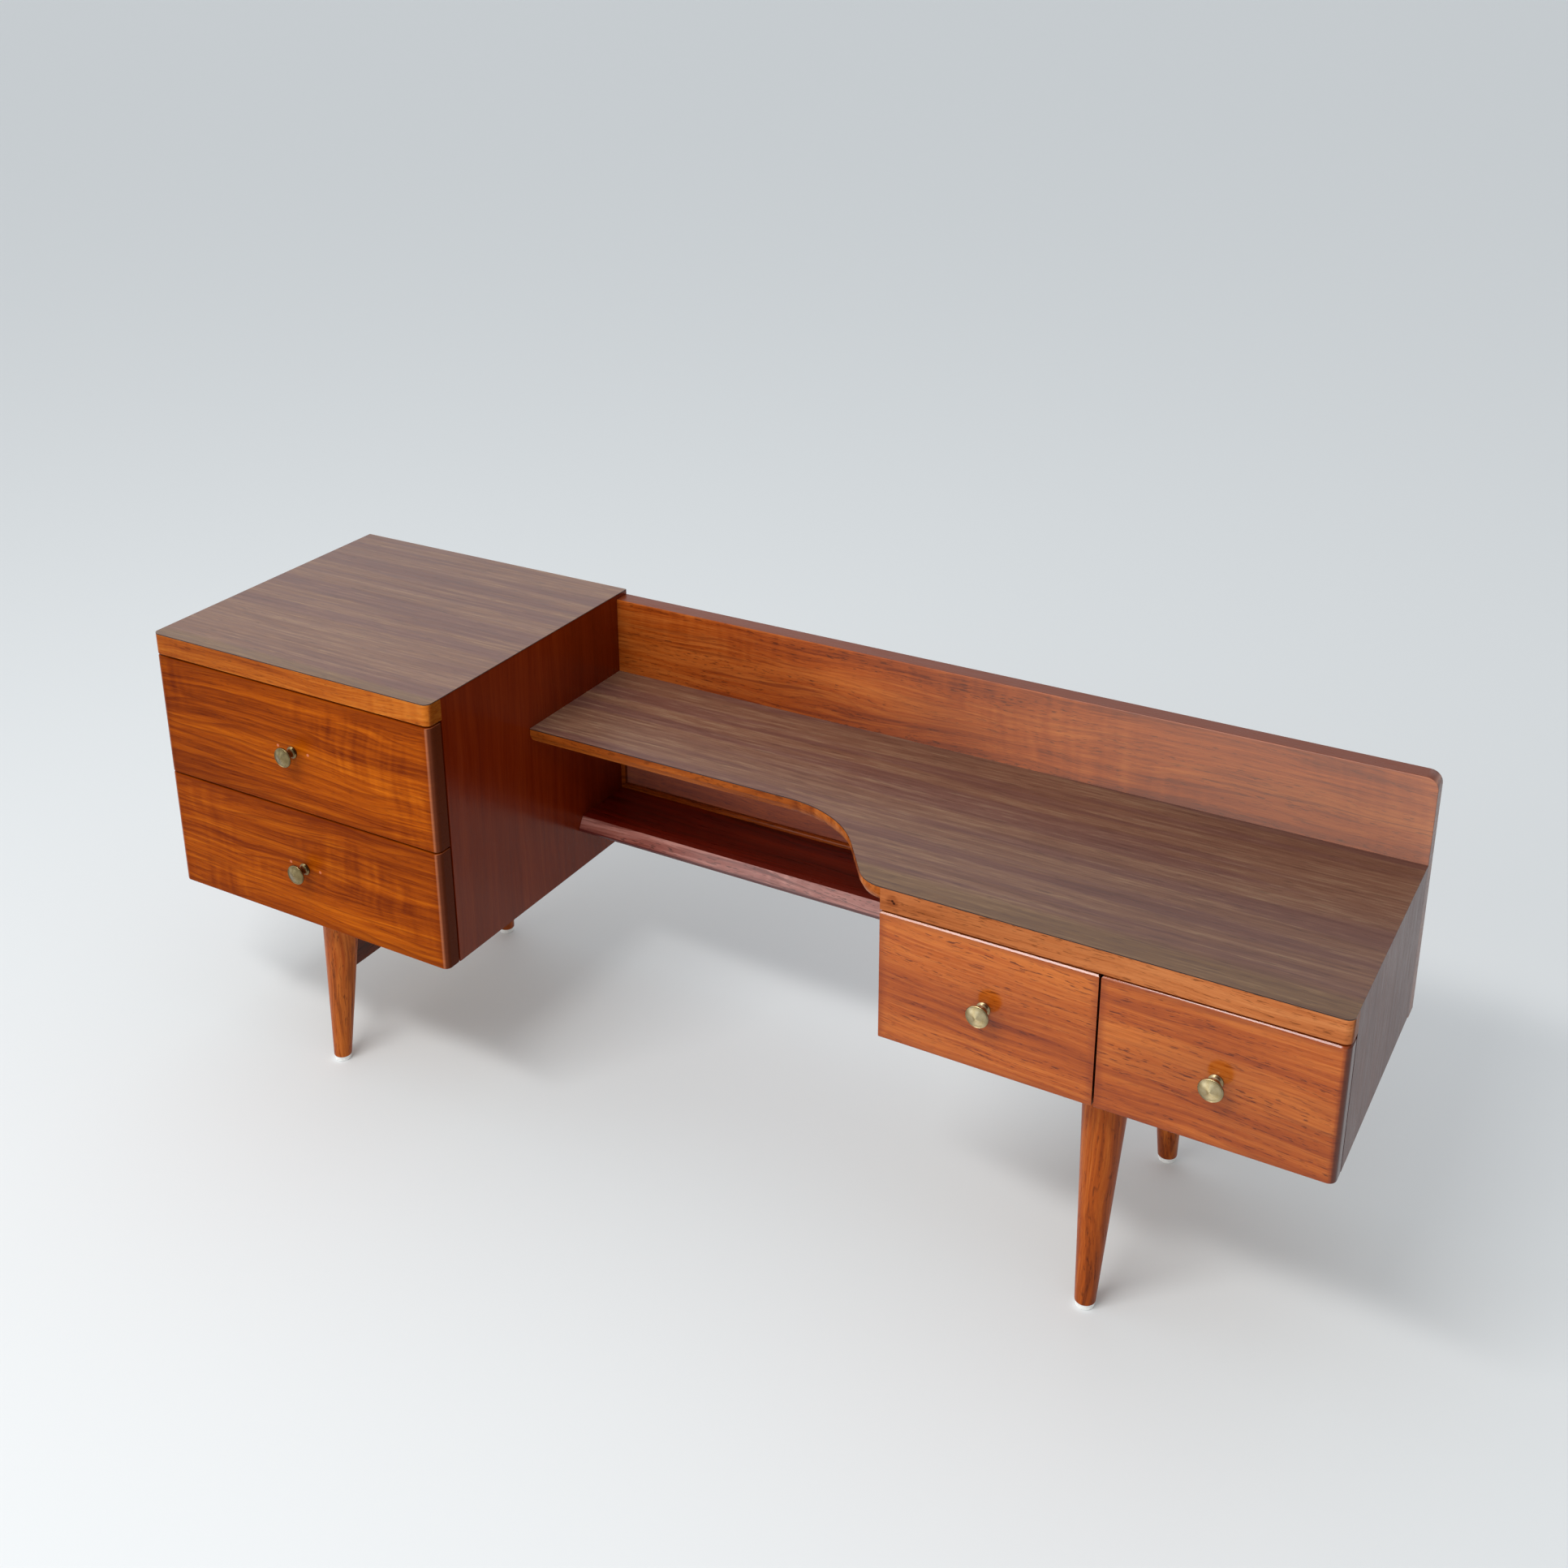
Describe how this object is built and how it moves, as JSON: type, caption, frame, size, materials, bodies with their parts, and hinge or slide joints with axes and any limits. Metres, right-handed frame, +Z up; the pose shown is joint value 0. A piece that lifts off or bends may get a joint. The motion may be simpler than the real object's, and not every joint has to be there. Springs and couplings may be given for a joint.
{
  "type": "dressing table",
  "caption": "Low teak dressing table: drawer pedestal, lower desk top with an S-shaped front edge over an open shelf, drawer unit, backboard and splayed round legs.",
  "frame": {"origin": "on the floor under the middle of the bounding box", "axes": "+X along the table from the pedestal to the drawer unit, +Y from the drawer fronts to the wall, +Z up"},
  "size_m": [1.52, 0.442, 0.593],
  "materials": {
    "drawer_front_teak": "warm orange-brown teak, straight to wavy grain along the width, satin lacquer",
    "rail_teak": "warm orange-brown teak, satin lacquer",
    "side_veneer": "deep red-brown veneer, upright grain, satin lacquer",
    "backboard_teak": "warm brown teak with open pores along its length, satin lacquer",
    "top_laminate": "wood-grain laminate with grey-brown and purplish streaks, fine satin",
    "shelf_dark_wood": "very dark red-brown, satin",
    "shelf_lip_wood": "pinkish brown, satin",
    "inside_wood": "plain inside board, unfinished",
    "drawer_box_wood": "pale hardwood, clear sealed",
    "drawer_ply": "thin plywood, clear sealed",
    "runner_wood": "plain hardwood, waxed",
    "leg_teak": "orange-brown turned wood, grain along the leg, satin lacquer",
    "knob_brass": "aged brass, turned and brushed",
    "screw_steel": "zinc-plated steel",
    "glide_white": "smooth white nylon"
  },
  "bodies": {
    "carcass": {"pedestal_left_side": "side_veneer", "pedestal_right_side": "side_veneer", "pedestal_bottom": "inside_wood", "pedestal_top_board": "inside_wood", "pedestal_top_laminate": "top_laminate", "pedestal_front_rail": "rail_teak", "pedestal_back": "drawer_ply", "desk_top_board": "inside_wood", "desk_top_laminate": "top_laminate", "desk_edge_lipping": "rail_teak", "drawer_unit_front_rail": "rail_teak", "backboard": "backboard_teak", "shelf_panel": "shelf_dark_wood", "shelf_front_lip": "shelf_lip_wood", "shelf_back_beads": "rail_teak", "drawer_unit_inner_side": "side_veneer", "drawer_unit_end_panel": "side_veneer", "drawer_unit_bottom": "inside_wood", "drawer_unit_divider": "inside_wood", "upper_drawer_runners": "runner_wood", "lower_drawer_runners": "runner_wood", "left_drawer_runners": "runner_wood", "right_drawer_runners": "runner_wood", "wood_screws": "screw_steel", "pedestal_front_leg": "leg_teak", "pedestal_back_leg": "leg_teak", "drawer_unit_front_leg": "leg_teak", "drawer_unit_back_leg": "leg_teak", "pedestal_leg_rail": "leg_teak", "drawer_unit_leg_rail": "leg_teak", "leg_glides": "glide_white", "leg_dowels": "runner_wood"},
    "upper_drawer": {"upper_drawer_front": "drawer_front_teak", "upper_drawer_left_side": "drawer_box_wood", "upper_drawer_right_side": "drawer_box_wood", "upper_drawer_back": "drawer_box_wood", "upper_drawer_bottom": "drawer_ply", "upper_drawer_knob": "knob_brass", "upper_drawer_knob_screw": "screw_steel"},
    "lower_drawer": {"lower_drawer_front": "drawer_front_teak", "lower_drawer_left_side": "drawer_box_wood", "lower_drawer_right_side": "drawer_box_wood", "lower_drawer_back": "drawer_box_wood", "lower_drawer_bottom": "drawer_ply", "lower_drawer_knob": "knob_brass", "lower_drawer_knob_screw": "screw_steel"},
    "left_drawer": {"left_drawer_front": "drawer_front_teak", "left_drawer_left_side": "drawer_box_wood", "left_drawer_right_side": "drawer_box_wood", "left_drawer_back": "drawer_box_wood", "left_drawer_bottom": "drawer_ply", "left_drawer_knob": "knob_brass", "left_drawer_knob_screw": "screw_steel"},
    "right_drawer": {"right_drawer_front": "drawer_front_teak", "right_drawer_left_side": "drawer_box_wood", "right_drawer_right_side": "drawer_box_wood", "right_drawer_back": "drawer_box_wood", "right_drawer_bottom": "drawer_ply", "right_drawer_knob": "knob_brass", "right_drawer_knob_screw": "screw_steel"}
  },
  "joints": [
    {"name": "upper_drawer_slide", "type": "slide", "parent": "carcass", "child": "upper_drawer", "axis": [0, -1, 0], "range_m": [0, 0.28]},
    {"name": "lower_drawer_slide", "type": "slide", "parent": "carcass", "child": "lower_drawer", "axis": [0, -1, 0], "range_m": [0, 0.28]},
    {"name": "left_drawer_slide", "type": "slide", "parent": "carcass", "child": "left_drawer", "axis": [0, -1, 0], "range_m": [0, 0.21]},
    {"name": "right_drawer_slide", "type": "slide", "parent": "carcass", "child": "right_drawer", "axis": [0, -1, 0], "range_m": [0, 0.21]}
  ]
}
